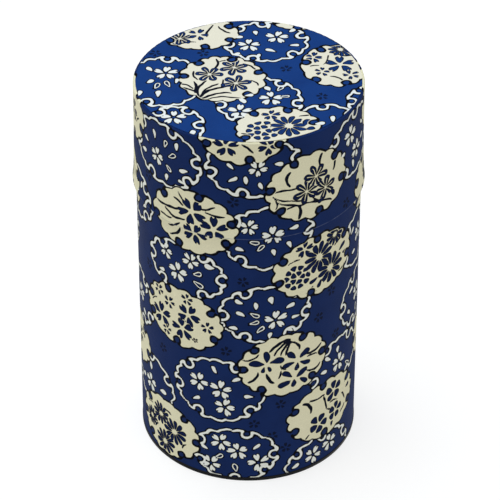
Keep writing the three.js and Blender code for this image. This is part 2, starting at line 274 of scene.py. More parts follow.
# Brush strokes on the cream: the places of both ends, how far the stroke bows, and half its width.
STROKES = [
    (14.1, 135.4, 14, 130, -1, 0.6), (26.4, 139.6, 26.2, 134.4, -0.6, 0.55),
    (32.9, 134.2, 31.6, 130.4, 0.3, 0.55), (6.6, 127.3, 18, 127.8, 1.1, 0.4),
    (10, 124, 21, 121.4, -0.9, 0.45), (8, 126.4, 20.5, 123, -0.8, 0.35),
    (17.2, 121.2, 17.6, 115.6, 0.7, 0.6), (20.5, 121.2, 31.5, 118.6, 0.5, 0.45),
    (8.4, 126.6, 9.2, 121.4, 0.6, 0.35), (22.6, 123, 28.5, 119.5, -0.5, 0.4),
    (11.5, 119.4, 16, 121.4, 0.5, 0.35), (-36, 116.8, -24.5, 117.6, -1, 0.5),
    (-31.5, 115, -22.8, 113.6, -0.9, 0.5), (-31, 108, -24.8, 111.6, -0.7, 0.5),
    (-30, 104.2, -25, 108.8, -0.9, 0.5), (-27.8, 121, -23.4, 119.2, 0.4, 0.4),
    (-25.4, 124, -23, 120.8, -0.2, 0.4), (-16.4, 120, -11.6, 121.8, -0.4, 0.45),
    (-15, 119.2, -7.8, 118.6, -0.7, 0.45), (-33.5, 112.5, -28, 112.4, -0.5, 0.35),
    (34, 97, 38.5, 99, 0.5, 0.4), (36, 84.6, 40.5, 86.2, -0.5, 0.35), (14, 96.6, 18.5, 97.4, 0.5, 0.35),
    (21, 82.4, 26, 81.6, -0.4, 0.35), (-23, 67.6, -24.6, 70, 0.2, 0.3), (-41, 69.5, -38.2, 72, 0.4, 0.35),
    (15.3, 63.9, 7.8, 59.6, -1.3, 0.6), (15.2, 63.4, 9.4, 57.6, -1, 0.55),
    (15.2, 63, 11.8, 57.2, -0.6, 0.5), (15.4, 62.6, 13.8, 56.8, -0.4, 0.45),
    (15.8, 62.4, 18.8, 58.2, 0.9, 0.55), (-3, 57, 3.8, 58.8, -1.4, 0.45),
    (21.6, 55.4, 28.4, 57, -1.2, 0.55), (22, 47.4, 27.8, 48.4, -1.4, 0.55), (3.4, 51, 0, 46.2, 0.9, 0.6),
    (6.4, 49.8, 9.2, 45.4, -0.7, 0.6), (11.4, 53, 14, 50.4, -0.3, 0.45), (12, 50.4, 10.6, 47, 0.3, 0.45),
    (22, 53.6, 27.6, 52.6, 0.5, 0.35), (21, 31.8, 24.2, 26.6, 1.3, 0.75),
    (23.6, 32.2, 30.6, 31.8, -0.4, 0.45), (30, 31, 31.6, 24.6, 0.6, 0.5),
    (31.4, 24.8, 34.6, 21.6, 0.2, 0.4), (24, 16.4, 21.4, 14.4, 0.2, 0.35), (41, 26.4, 43.6, 22, 0.4, 0.45),
    (40.4, 17.4, 43.6, 20, -0.3, 0.4), (33.4, 26.2, 38.4, 25.2, 0.4, 0.4),
    (-35.6, 22.2, -31.2, 21.4, 0.5, 0.5), (-47, 18.8, -43, 19.8, 0.4, 0.4),
    (-41.4, 10, -39.4, 13, 0.3, 0.4), (-26.5, 8.6, -24, 11.4, 0.3, 0.35),
    (-14, 146.4, -11.4, 148.6, 0.2, 0.4), (-2.4, 148.4, 1.6, 144.8, 0.5, 0.4),
    (-62, 146, -59.6, 138, 1, 0.45), (-64, 48, -61.4, 42, 0.8, 0.45), (65, 120, 68.4, 114, 0.8, 0.45),
    (-52, 138.6, -48.4, 141.4, 0.5, 0.4), (55, 117, 56.4, 121, 0.4, 0.4),
]

# The lid's top is cut from another part of the sheet: +X to the right and +Y to the back.
TOP_CREAM = [
    ((-9.2, 0.2), (14.6, 14.2), (128, 75, 20, -50, 172)),
    ((30.2, 9), (11.6, 13.2), (118, 170, -70, 30, -130)),
    ((-17.5, 30.5), (13.5, 10.5), (-28, -80, -150, 100, 30)),
    ((10, -31), (14, 12.8), (130, 75, 18, -60, -150)),
    ((17.5, 41), (9.5, 7.5), (-90, -160, -20)),
]
TOP_RINGS = [
    ((6, 25), (14.6, 13), (190, 135, 20, -45, -110, 95)),
    ((-29.5, -1.6), (13.4, 15.6), (85, 12, -12, -115, 165)),
    ((3.5, -14), (14.4, 14.6), (55, 108, -5, -170, -120)),
    ((-25, -30), (9.6, 12.2), (60, 5, 130, -150)),
    ((26.5, -25), (9.5, 8.6), (100, 20, 180)),
    ((41, -14), (7, 9), (180, 120)),
]
TOP_WHITE_FLOWERS = {
    BLOSSOM: [
        (0, 22.5, 4.1, 88), (10, 28, 4.1, 80), (-28.8, 4, 4.2, 85), (7.5, -12.5, 4.2, 92),
        (-3, -20.5, 4.2, 88), (-25.5, -24.5, 4.2, 90),
    ],
    PETAL: [
        (-4, 28, 1.7, 0), (2.5, 31, 1.5, 95), (7, 35.5, 1.7, 80), (-4.5, 16.5, 1.5, 20),
        (3.5, 15.2, 1.5, 80), (7.5, 19, 1.8, 160), (16, 22.5, 1.6, 0), (15.5, 32.5, 1.5, 40),
        (-34.5, 6.5, 1.6, 120), (-34, -1.5, 1.5, 40), (-31, -9.5, 1.8, 85), (-37.5, -9, 1.6, 70),
        (-25, -1, 1.4, 90), (6.5, -6, 1.7, 120), (-2.2, -13.5, 2, -60), (0, -10.5, 1.4, 20),
        (-19, -34, 1.7, 80), (28.5, -25, 1.8, 85), (24, -28, 1.6, 20),
    ],
    HOLLOW: [(-31.8, -4.5, 1.7, 70), (-28, -3.2, 1.6, 110), (10.7, -6, 1.6, 60), (12.6, -11, 1.3, 0)],
}
TOP_DARK_FLOWERS = {
    BLOSSOM: [(22.6, 14.4, 3.4, 75), (31.8, 9.8, 5.3, 90), (7.6, -23, 3.2, 90)],
    LILY: [(-5.2, 7.6, 5, 20), (-13.8, 3.2, 4.8, 55), (-4.4, -2.8, 5.2, 15), (-24.4, 27, 4.6, 20)],
    DAISY: [(32.4, 19.6, 4.6, 10), (13.4, -29.6, 6.2, 10)],
    BUD: [*hydrangea(4.6, -32.4, 5.8)],
    STAR: [(25.4, 4.9, 2.9, 80), (35.6, 3, 3.2, 40), (-18, 29.6, 4, 70), (-28, 23.6, 2.6, 70)],
    PETAL: [(19.4, -27.4, 2.2, 70), (20.6, -31.2, 1.8, 20)],
}
TOP_FAINT_PLACES = [(-16, 17), (-33, 17), (13, 7), (25, -11)]
TOP_STROKES = [
    (-25, -5.6, -17.6, -8.8, 1, 0.45), (-24.6, -3.2, -19, -6.2, 0.8, 0.4),
    (-17.4, -12.6, -5.6, -4.6, 2.2, 0.6), (-17, -13.6, -6, -9, 1.6, 0.55),
    (-17.4, -11, -14.6, -1, 1.4, 0.6), (-18.6, -9, -19.2, -1.6, -0.8, 0.5),
    (-16.4, -13.8, -2.6, -12.4, 1.6, 0.4), (-16, -9.6, -10.4, -3, 0.9, 0.4),
    (-11.2, 13, -12, 6.4, 0.6, 0.5), (-2, 10.4, 3, 3.6, 1.1, 0.4), (0.6, -0.6, 3.2, -4.4, 0.5, 0.4),
    (-19.4, 5, -17.6, -0.6, -0.6, 0.4), (-9, -0.4, -9.6, -5, 0.5, 0.4),
    (-10.4, 11.4, -5.6, 12.6, 0.5, 0.35), (-12.6, 36.4, -15, 28, -0.8, 0.45),
    (-11, 35.4, -6.8, 30.8, -0.8, 0.45), (-26, 21.8, -18.6, 24.8, 0.7, 0.4), (28, 16, 26, 9.4, 0.5, 0.35),
    (28.4, 17.6, 37.6, 16, -1, 0.4), (28, 2, 33, -1, 0.5, 0.35), (21.4, 8.6, 24.6, 9, 0.3, 0.35),
    (-2.6, -34, 0.6, -35.8, 0.4, 0.4), (17, -23.8, 21, -22.8, 0.3, 0.35),
]

FAINT, WHITE, DARK, NO_FLOWER = 0, 1, 2, 3
FAINT_RADIUS = 2.2
FAINT_TURN = 7           # degrees for each millimetre along the sheet, so that no two stand alike
FAR = 9.0                # a distance past every edge
NEARBY = 5               # a shape is worked out this far past its own size
REPEAT = 123             # the print comes round again after this length of sheet
LOBE_LENGTH = 5.2
LOBE_DEPTH = 0.07        # as a share of the medallion's size
LOBE_POWER = 0.8         # under one, the notches between lobes are sharp
LOBE_INSIDE = 0.6        # the share of a lobe's depth that lies inside the plain oval
BAY_RADIUS = 1.9
BAY_CORNER = 0.8         # the rounding of a bay's two corners
CREAM_BAY_DEPTH = 1.3
RING_BAY_DEPTH = 1.0
RING_HALF = 0.45         # half the width of the white rings
RING_STOP = 0.6          # a ring ends this far from the cream
KEY_WIDTH = 0.8          # black line round the cream
RING_KEY = 0.6           # black line along each side of the white rings
PETAL_KEY = 0.42         # and round the white petals
FLOWER_REACH = 0.8       # how far past its rim a flower may be drawn
PETAL_WIDENING = 0.4     # how much wider a petal is towards its tip
NOTCHED = (0.55, 0.75)   # petals between these breadths have a notch at the tip
VEIN_HALF = 0.25
HOLLOW_HALF = 0.2        # half the width of a hollow petal's outline
INK_ROUGHNESS = 0.15     # how far an edge wanders on the fibres
DARK_OUTER = 0.12        # a dark petal's outline runs from this far outside its edge
DARK_INNER = -0.24       # to this far inside
CREAM_MARGIN = -0.25     # dark inks keep this far inside the cream


def wander(u, v):
    """The sheet shifted by slow sums of sines, so that no two shapes are quite alike, as in hand cutting."""
    du = 0.18 * np.sin(0.83 * v + 0.31 * u) + 0.09 * np.sin(1.9 * u - 1.3 * v + 2)
    dv = 0.18 * np.sin(0.77 * u - 0.42 * v + 1) + 0.09 * np.sin(1.7 * v + 1.5 * u)
    return u + du, v + dv


def medallion(u, v, place, size, bays, bay_depth):
    """Distances, negative inside, to a lobed oval: first the whole oval, then with its round bays taken out.

    The oval's edge swells in sine lobes that fit whole between each bay and the next. A bay is a disc
    whose middle lies a little inside the edge, cut out with its two corners rounded off.
    """
    x = (u - place[0]) / size[0]
    y = (v - place[1]) / size[1]
    rho = np.hypot(x, y) + 1e-9
    turns = np.sort(np.array(bays, float) % 360)
    spans = np.diff(np.append(turns, turns[0] + 360))
    starts = np.append(0, np.cumsum(spans))
    clock = (np.degrees(np.arctan2(y, x)) - turns[0]) % 360
    between = np.clip(np.searchsorted(starts, clock, side="right") - 1, 0, len(spans) - 1)
    lobes = np.maximum(1, np.round(np.radians(spans) * np.mean(size) / LOBE_LENGTH))
    phase = np.pi * lobes[between] * (clock - starts[between]) / spans[between]
    swell = LOBE_DEPTH * (np.abs(np.sin(phase)) ** LOBE_POWER - LOBE_INSIDE)
    slope = np.hypot(x / size[0], y / size[1]) / rho
    whole = (rho - 1 - swell) / slope
    cut = whole
    for turn in np.radians(turns):
        out = np.array([size[0] * math.cos(turn), size[1] * math.sin(turn)])
        middle = out * (1 - bay_depth / np.hypot(*out))
        hole = BAY_RADIUS - np.hypot(u - place[0] - middle[0], v - place[1] - middle[1])
        blend = np.maximum(BAY_CORNER - np.abs(cut - hole), 0) / BAY_CORNER
        cut = np.maximum(cut, hole) + blend * blend * BAY_CORNER / 4
    return whole, cut


def stroke(u, v, start, end, bow, half):
    """Distance to the edge of a brush stroke: a bowed line from start to end that thins towards both ends."""
    run = np.subtract(end, start)
    length = np.hypot(*run)
    run = run / length
    along = ((u - start[0]) * run[0] + (v - start[1]) * run[1]) / length
    aside = (v - start[1]) * run[0] - (u - start[0]) * run[1]
    share = np.clip(along, 0, 1)
    lean = 1 / np.hypot(1, 4 * bow * (1 - 2 * share) / length)
    gap = np.hypot((aside - 4 * bow * share * (1 - share)) * lean, (along - share) * length)
    return gap - half * (0.45 + 0.55 * np.sqrt(4 * share * (1 - share)))


def nearest_medallion(u, v, medallions, bay_depth):
    """The least of the two distances at each point, over all the medallions."""
    least = np.full((2, *u.shape), FAR)
    for place, size, bays in medallions:
        near = (np.abs(u - place[0]) < size[0] + NEARBY) & (np.abs(v - place[1]) < size[1] + NEARBY)
        distances = medallion(u[near], v[near], place, size, bays, bay_depth)
        least[:, near] = np.minimum(least[:, near], distances)
    return least


def printed_edges(u, v, cream, rings, strokes):
    """Three distances at each point of the sheet: to the cream, to the white ring line and to the strokes."""
    covered, on_cream = nearest_medallion(u, v, cream, CREAM_BAY_DEPTH)
    _, ring = nearest_medallion(u, v, rings, RING_BAY_DEPTH)
    ink = np.full(u.shape, FAR)
    for u0, v0, u1, v1, bow, half in strokes:
        reach = math.dist((u0, v0), (u1, v1)) / 2 + abs(bow) + NEARBY
        near = np.hypot(u - (u0 + u1) / 2, v - (v0 + v1) / 2) < reach
        ink[near] = np.minimum(ink[near], stroke(u[near], v[near], (u0, v0), (u1, v1), bow, half))
    line = np.maximum(np.abs(ring) - RING_HALF, RING_STOP - covered)
    return np.stack([on_cream, line, ink], axis=-1)


def nearest_flowers(u, v, flowers):
    """For each point, the index of the flower whose rim is nearest, or -1 where none is close."""
    found = np.full(u.shape, -1)
    best = np.full(u.shape, FLOWER_REACH)
    for index, (fu, fv, radius, *_) in enumerate(flowers):
        gap = np.hypot(u - fu, v - fv) - radius
        wins = gap < best
        best[wins] = gap[wins]
        found[wins] = index
    return found


def read_faces(mesh):
    """The vertex of each face corner, and the face that it belongs to."""
    corners = np.empty(len(mesh.loops), np.int32)
    mesh.loops.foreach_get("vertex_index", corners)
    sides = np.empty(len(mesh.polygons), np.int32)
    mesh.polygons.foreach_get("loop_total", sides)
    return corners, np.repeat(np.arange(len(sides)), sides)


def write_attribute(mesh, name, kind, domain, values):
    written = mesh.attributes.new(name, kind, domain).data
    written.foreach_set("value" if kind == "FLOAT" else "vector", values.ravel())


def print_on(mesh, u, v, cream, rings, strokes, flowers):
    """Writes the print on a mesh whose vertices lie at sheet places u and v.

    Edges are distances held at the vertices. A face holds one flower: its corners carry their place on
    that flower's own turned axes, and the face carries its petal's sizes, count and ink.
    """
    u, v = wander(u, v)
    edges = printed_edges(u, v, cream, rings, strokes)
    write_attribute(mesh, "print_edges", "FLOAT_VECTOR", "POINT", edges)

    corners, face_of = read_faces(mesh)
    cu, cv = u[corners], v[corners]
    sides = np.bincount(face_of)
    chosen = nearest_flowers(np.bincount(face_of, cu) / sides, np.bincount(face_of, cv) / sides, flowers)

    place = np.array([f[:4] for f in flowers] + [(0, 0, 1, 0)], float)
    kind = np.array([f[4] for f in flowers] + [PETAL], float)
    ink = np.array([f[5] for f in flowers] + [NO_FLOWER], float)
    sizes = kind[:, 1:] * place[:, 2:3]
    flower = chosen[face_of]
    turn = np.radians(place[flower, 3])
    du = cu - place[flower, 0]
    dv = cv - place[flower, 1]
    ahead = du * np.cos(turn) + dv * np.sin(turn)
    aside = dv * np.cos(turn) - du * np.sin(turn)
    local = np.stack([ahead, aside, kind[flower, 0]], axis=-1)
    write_attribute(mesh, "flower_place", "FLOAT_VECTOR", "CORNER", local)
    write_attribute(mesh, "flower_petal", "FLOAT_VECTOR", "FACE", sizes[chosen])
    write_attribute(mesh, "flower_ink", "FLOAT", "FACE", ink[chosen])


def inked(white, dark, faint_places):
    """One list of flowers: place, radius, turn, kind and ink."""
    faint = {BLOSSOM: [(u, v, FAINT_RADIUS, FAINT_TURN * u) for u, v in faint_places]}
    return [
        (*flower, kind, ink)
        for ink, kinds in ((WHITE, white), (DARK, dark), (FAINT, faint))
        for kind, flowers in kinds.items()
        for flower in flowers
    ]


def side_print():
    """The print at the front of the sheet and again one repeat to each side."""
    shifts = (-REPEAT, 0, REPEAT)
    flowers = inked(WHITE_FLOWERS, DARK_FLOWERS, FAINT_PLACES)
    return (
        [((u + s, v), *rest) for s in shifts for (u, v), *rest in CREAM],
        [((u + s, v), *rest) for s in shifts for (u, v), *rest in RINGS],
        [(u0 + s, v0, u1 + s, v1, *rest) for s in shifts for u0, v0, u1, v1, *rest in STROKES],
        [(u + s, *rest) for s in shifts for u, *rest in flowers],
    )


# ---------------------------------------------------------------- surfaces


def swept(name, grid, along, across):
    """A closed mesh from a grid of points, rows by columns, whose columns run once round the tin's axis.

    Along holds the distance round at each column and back at the first, and across the distance at each row,
    for the piece's UV map. With one more across than there are rows, the last row joins the first.
    Otherwise the first and last rows lie on the axis, and each is drawn together into one vertex.
    """
    rows, columns = grid.shape[:2]
    closed = len(across) > rows
    index = np.arange(rows * columns).reshape(rows, columns)
    kept = np.ones(rows * columns, bool)
    if closed:
        lower, upper = index, np.roll(index, -1, axis=0)
        low_v, high_v = across[:-1], across[1:]
    else:
        lower, upper = index[1:-2], index[2:-1]
        low_v, high_v = across[1:-2], across[2:-1]
        kept[index[[0, -1], 1:]] = False
    number = np.cumsum(kept) - 1
    quads = np.stack([lower, np.roll(lower, -1, 1), np.roll(upper, -1, 1), upper], axis=-1).reshape(-1, 4)
    near_u, far_u = along[:-1], along[1:]
    corner_u = np.stack([near_u, far_u, far_u, near_u], -1)
    corner_v = np.stack([low_v, low_v, high_v, high_v], -1)[:, None]
    faces = number[quads].tolist()
    uv = [np.stack(np.broadcast_arrays(corner_u, corner_v), -1).reshape(-1, 2)]
    if not closed:
        middle_u = (near_u + far_u) / 2
        first = (index[0], np.roll(index[1], -1), index[1], far_u, near_u, across[1], across[0])
        last = (index[-1], index[-2], np.roll(index[-2], -1), near_u, far_u, across[-2], across[-1])
        for pole, one, other, one_u, other_u, edge_v, pole_v in (first, last):
            faces += number[np.stack([one, other, np.full(columns, pole[0])], -1)].tolist()
            fan_u = np.stack([one_u, other_u, middle_u], -1).ravel()
            uv.append(np.stack([fan_u, np.tile([edge_v, edge_v, pole_v], columns)], -1))
    mesh = bpy.data.meshes.new(name)
    mesh.from_pydata((grid.reshape(-1, 3)[kept] * MM).tolist(), [], faces)
    mesh.uv_layers.new(name="sheet").data.foreach_set("uv", (np.concatenate(uv) * MM).ravel())
    mesh.update()
    mesh.shade_smooth()
    mesh.set_sharp_from_angle(angle=math.radians(SHARP_TURN))
    piece = bpy.data.objects.new(name, mesh)
    bpy.context.scene.collection.objects.link(piece)
    return piece


def round_the_axis(radius, height, turn):
    """Points at a radius and a height, turned about the tin's axis from the front towards +X."""
    return np.stack(np.broadcast_arrays(radius * np.sin(turn), -radius * np.cos(turn), height), axis=-1)


def run_along(profile, closed):
    """The distance along a profile at each of its points, and back at its first if it is closed."""
    points = np.vstack([profile, profile[:1]]) if closed else profile
    return np.append(0, np.cumsum(np.hypot(*np.diff(points, axis=0).T)))


def lap_step(along, end, width, height):
    """How far the overlapping end of a sheet stands up: a soft ramp at its start, level, then nothing."""
    ramp = np.clip((along - (end - width)) / LAP_RAMP, 0, 1)
    return height * ramp * ramp * (3 - 2 * ramp)


def turned(name, profile, columns=256):
    """A piece of revolution from an anticlockwise profile of (radius, height) points."""
    profile = np.array(profile, float)
    turn = np.linspace(0, 2 * np.pi, columns, endpoint=False)
    along = np.append(turn, 2 * np.pi) * profile[:, 0].max()
    grid = round_the_axis(profile[:, :1], profile[:, 1:], turn)
    return swept(name, grid, along, run_along(profile, closed=profile[0, 0] > 0))


def seamed(name, rows, columns=256):
    """A tinplate tube whose sheet laps over itself along a line, from rows of (radius, height, seam).

    Seam says how far the lap shows on that row, as a share of its step: one stands outward, minus one inward.
    """
    rows = np.array(rows, float)
    profile, shown = rows[:, :2], rows[:, 2:]
    widest = profile[:, 0].max()
    gap = SHEET_GAP / widest
    end = math.radians(SEAM_TURN)
    turn = end + np.linspace(gap - 2 * np.pi, -gap, columns)
    along = np.append(turn, turn[0] + 2 * np.pi) * widest
    radius = profile[:, :1] + shown * lap_step(turn * widest, end * widest, SEAM_WIDTH, SEAM_STEP)
    grid = round_the_axis(radius, profile[:, 1:], turn)
    return swept(name, grid, along, run_along(profile, closed=True))


def arc(r, z, radius, start, end, steps=8):
    """Points of a circular arc in the radius and height plane, from one angle to another in degrees."""
    a = np.radians(np.linspace(start, end, steps + 1))
    return [(r + radius * c, z + radius * s) for c, s in zip(np.cos(a), np.sin(a))]


def pressed_ring(radius, half, height, level, steps):
    """A stiffening ring pressed up from a level: one hump of a squared cosine across its width."""
    across = np.linspace(-half, half, steps)
    return [(radius + s, level + height * math.cos(math.pi / 2 * s / half) ** 2) for s in across]


def lid_radius(above):
    """Outer radius of the lid's paper at a height above its mouth: a long taper and a short hem."""
    return LID_RADIUS + LID_TAPER * (1 - above / LID_HEIGHT) ** 2 + LID_HEM * np.exp(-above / LID_HEM_REACH)


def lid_wall(inset, heights):
    """The lid's wall moved inward by an inset, at each height above its mouth."""
    heights = np.array(heights, float)
    return list(zip(lid_radius(heights) - inset, LID_MOUTH + heights))


# ---------------------------------------------------------------- materials


class Field:
    """A number that changes over a surface. Arithmetic on it adds Math nodes to its node tree."""

    def __init__(self, tree, socket):
        self.tree = tree
        self.socket = socket

    def math(self, operation, *others):
        made = self.tree.nodes.new("ShaderNodeMath")
        made.operation = operation
        for socket, value in zip(made.inputs, (self, *others)):
            fill(self.tree, socket, value)
        return Field(self.tree, made.outputs[0])

    def __add__(self, other):
        return self.math("ADD", other)

    def __sub__(self, other):
        return self.math("SUBTRACT", other)

    def __mul__(self, other):
        return self.math("MULTIPLY", other)

    def __truediv__(self, other):
        return self.math("DIVIDE", other)

    def __abs__(self):
        return self.math("ABSOLUTE")

    def most(self, other):
        return self.math("MAXIMUM", other)

    def hypot(self, other):
        return (self * self + other * other).math("SQRT")

    def graded(self, start, end, low=0.0, high=1.0):
        """Low where this is at start, high at end, and straight in between."""
        values = {0: self, 1: start, 2: end, 3: low, 4: high}
        return Field(self.tree, add(self.tree, "MapRange", values).outputs[0])

    def below(self, limit, soft=0.05):
        """A mask that is one where this is under a limit, with a soft edge."""
        return self.graded(limit + soft, limit - soft)

    def near(self, middle, half, soft=0.05):
        """A mask that is one within half a width of a middle value."""
        return abs(self - middle).below(half, soft)


def fill(tree, socket, value):
    """Sets a socket from a plain value, or links it to a field or another socket."""
    value = value.socket if isinstance(value, Field) else value
    if isinstance(value, bpy.types.NodeSocket):
        tree.links.new(value, socket)
    else:
        socket.default_value = value


def add(tree, kind, inputs=(), **settings):
    """Adds a shader node with its settings and fills its inputs, given by name or number."""
    made = tree.nodes.new("ShaderNode" + kind)
    for name, value in settings.items():
        setattr(made, name, value)
    for key, value in dict(inputs).items():
        fill(tree, made.inputs[key], value)
    return made


def rgb(red, green, blue):
    return (red, green, blue, 1.0)


def parts_of(tree, vector):
    """The three numbers of a vector."""
    return [Field(tree, part) for part in add(tree, "SeparateXYZ", {0: vector}).outputs]


def read_attribute(tree, name):
    """The three numbers of a vector attribute of the mesh."""
    return parts_of(tree, add(tree, "Attribute", attribute_name=name).outputs["Vector"])


def mixed(tree, share, first, second, blend="MIX"):
    values = {0: share, 6: first, 7: second}
    return add(tree, "Mix", values, data_type="RGBA", blend_type=blend, clamp_factor=True).outputs[2]


def noise(tree, place, per_metre, detail=2.0, distortion=0.0, stretch=(1, 1, 1)):
    """A noise whose cells are one over per_metre across, drawn out along an axis where stretch is small."""
    scaled = add(tree, "Mapping", {"Vector": place, "Scale": stretch}).outputs[0]
    values = {"Vector": scaled, "Scale": per_metre, "Detail": detail, "Distortion": distortion}
    return Field(tree, add(tree, "TexNoise", values).outputs["Fac"])


def new_group(name, takes_place, outputs):
    """An empty node group that puts out the named numbers. Returns its tree, its place input and outputs."""
    tree = bpy.data.node_groups.new(name, "ShaderNodeTree")
    if takes_place:
        tree.interface.new_socket(name="place", in_out="INPUT", socket_type="NodeSocketVector")
    for label in outputs:
        tree.interface.new_socket(name=label, in_out="OUTPUT", socket_type="NodeSocketFloat")
    taken = tree.nodes.new("NodeGroupInput").outputs
    return tree, taken[0] if takes_place else None, tree.nodes.new("NodeGroupOutput").inputs


def use_group(tree, group, **inputs):
    """Places a node group. Returns its outputs as fields, by name."""
    made = tree.nodes.new("ShaderNodeGroup")
    made.node_tree = group
    for name, value in inputs.items():
        fill(tree, made.inputs[name], value)
    return {socket.name: Field(tree, socket) for socket in made.outputs}


def petal_group():
    """Distance to the petals of the flower that a face holds.

    The turn round the flower is folded into one sector, so that a point is measured against one petal: an
    ellipse that widens outward. A broad petal has a notch at its tip, unless it is a round bud, and a
    lily's has a vein left open along its middle. A negative width leaves only the ellipse's outline.
    """
    tree, _, outs = new_group("petals", False, ("distance", "ink"))
    x, y, count = read_attribute(tree, "flower_place")
    middle, half, width = read_attribute(tree, "flower_petal")
    sector = count.most(1).math("POWER", -1) * (2 * math.pi)
    folded = y.math("ARCTAN2", x).math("WRAP", sector * 0.5, sector * -0.5)
    reach = x.hypot(y)
    px = reach * folded.math("COSINE") - middle
    py = abs(reach * folded.math("SINE"))
    half = half.most(0.01)
    wide = (abs(width) * (px / half * PETAL_WIDENING + 1)).most(0.01)
    scaled = (px / half).hypot(py / wide)
    slope = (px / (half * half)).hypot(py / (wide * wide))
    ellipse = scaled * (scaled - 1) / slope.most(0.001)
    breadth = abs(width) / half
    broad = breadth.math("GREATER_THAN", NOTCHED[0]) * breadth.math("LESS_THAN", NOTCHED[1])
    notch = (px - half * 0.5) * 0.85 - py * 1.25
    veined = count.math("COMPARE", LILY[0], 0.5)
    vein = (py - VEIN_HALF).most(px - half * 0.45)
    petal = ellipse.most(notch * broad + (broad - 1) * FAR).most((veined - 1) * FAR - vein * veined)
    outline = abs(ellipse) - HOLLOW_HALF
    fill(tree, outs["distance"], petal + (outline - petal) * width.math("LESS_THAN", 0))
    fill(tree, outs["ink"], add(tree, "Attribute", attribute_name="flower_ink").outputs["Fac"])
    return tree


INK_LAYERS = ("faint", "key", "white", "cream", "brush", "petal_edge", "flower")


def print_group(petals):
    """Where each ink lies. Edges wander a little, as ink does on fibre."""
    tree, place, outs = new_group("print", True, INK_LAYERS)
    cream, line, brush = read_attribute(tree, "print_edges")
    flower = use_group(tree, petals)
    rough = (noise(tree, place, 900, 3) - 0.5) * INK_ROUGHNESS
    petal = flower["distance"] + rough
    cream = cream + rough
    line = line + rough * 0.8
    white = flower["ink"].near(WHITE, 0.5)
    on_cream = cream.below(CREAM_MARGIN)
    dark = flower["ink"].near(DARK, 0.5) * on_cream
    masks = {
        "faint": petal.below(0) * flower["ink"].near(FAINT, 0.5),
        "key": line.below(RING_KEY).most(petal.below(PETAL_KEY) * white).most(cream.below(KEY_WIDTH)),
        "white": line.below(0).most(petal.below(0) * white),
        "cream": cream.below(0),
        "brush": (brush + rough).below(0) * on_cream,
        "petal_edge": petal.below(DARK_OUTER) * dark,
        "flower": petal.below(DARK_INNER) * dark,
    }
    for label, mask in masks.items():
        fill(tree, outs[label], mask)
    return tree


def fibre_group():
    """Mulberry paper: long fine fibres where a noise crosses its middle value, over a cloudy sheet."""
    tree, place, outs = new_group("mulberry_fibres", True, ("fibres", "cloud", "height"))
    along = noise(tree, place, 230, 3, 1.4).near(0.5, 0.006, 0.006)
    across = noise(tree, place, 140, 2, 0.8, (1, 2.4, 1)).near(0.47, 0.005, 0.005)
    fibres = along.most(across)
    fill(tree, outs["fibres"], fibres)
    fill(tree, outs["cloud"], noise(tree, place, 90, 5))
    fill(tree, outs["height"], fibres * 0.5 + noise(tree, place, 2600, 4))
    return tree


def grain_group():
    """Rolled sheet metal: fine lines along the first axis, and a few scratches that cross them."""
    tree, place, outs = new_group("rolled_grain", True, ("lines", "scratches", "bloom"))
    one_way = noise(tree, place, 120, 1, 0.3, (1, 0.12, 1)).near(0.5, 0.004, 0.004)
    other = noise(tree, place, 90, 1, 0.2, (0.1, 1, 0.6)).near(0.44, 0.003, 0.003)
    fill(tree, outs["lines"], noise(tree, place, 2400, 4, 0, (0.025, 1, 1)))
    fill(tree, outs["scratches"], one_way.most(other))
    fill(tree, outs["bloom"], noise(tree, place, 45, 5, 0.4))
    return tree


def handling_group():
    """Faint smudges where fingers have been: soft spots, one where a slow noise is high."""
    tree, place, outs = new_group("handling", True, ("smudge",))
    spots = noise(tree, place, 55, 3, 0.6).graded(0.52, 0.68)
    ridges = noise(tree, place, 900, 2).graded(0.3, 0.7, 0.6)
    fill(tree, outs["smudge"], spots * ridges)
    return tree


def new_material(name, coordinates):
    """A material with one Principled shader, read on UV or Object. Returns it, its tree, shader and place."""
    material = bpy.data.materials.new(name)
    material.use_nodes = True
    tree = material.node_tree
    place = add(tree, "TexCoord").outputs[coordinates]
    return material, tree, tree.nodes["Principled BSDF"], place


def surface(tree, shader, colour, roughness, height, depth):
    """Fills in a shader. Height, between zero and one, stands for a depth of bump in millimetres."""
    fill(tree, shader.inputs["Base Color"], colour)
    fill(tree, shader.inputs["Roughness"], roughness)
    values = {"Height": height, "Distance": depth * MM, "Strength": 1.0}
    fill(tree, shader.inputs["Normal"], add(tree, "Bump", values).outputs[0])


def painted_mouth_highlight(tree, place):
    """A painted highlight: pale patches along the fold at the lid's mouth and the edge of the body's paper,
    where the hem catches the light.
    """
    level = parts_of(tree, add(tree, "TexCoord").outputs["Object"])[2] / MM
    patches = noise(tree, place, 350, 4).graded(0.3, 0.65)
    return level.near(LID_MOUTH, 0.24, 0.16) * patches * 0.6


def printed_paper(name, groups, inks):
    """Screen-printed mulberry paper: matt layers of pigment over a dyed ground, with the fibres showing, and
    a painted highlight along the lid's mouth.
    """
    material, tree, shader, place = new_material(name, "UV")
    masks = use_group(tree, groups["print"], place=place)
    sheet = use_group(tree, groups["fibres"], place=place)
    layers = mixed(tree, sheet["cloud"].graded(0.3, 0.7), inks["ground"], inks["ground_deep"])
    for label in INK_LAYERS:
        layers = mixed(tree, masks[label], layers, inks[label])
    # Painted highlight: a pale blue-grey laid in patches at the height of the lid's mouth.
    layers = mixed(tree, painted_mouth_highlight(tree, place), layers, inks["mouth_highlight"])
    height = sheet["height"]
    tone = height.graded(0.25, 0.85, 0.9, 1.1) - sheet["fibres"] * 0.07
    tones = add(tree, "CombineXYZ", {0: tone, 1: tone, 2: tone}).outputs[0]
    printed = masks["white"].most(masks["cream"])
    rough = printed * 0.16 + height.graded(0.2, 0.9, 0.56, 0.68)
    shader.inputs["Specular IOR Level"].default_value = 0.045
    toned = mixed(tree, 1.0, layers, tones, "MULTIPLY")
    surface(tree, shader, toned, rough, printed * 0.35 + height * 0.65, 0.06)
    return material


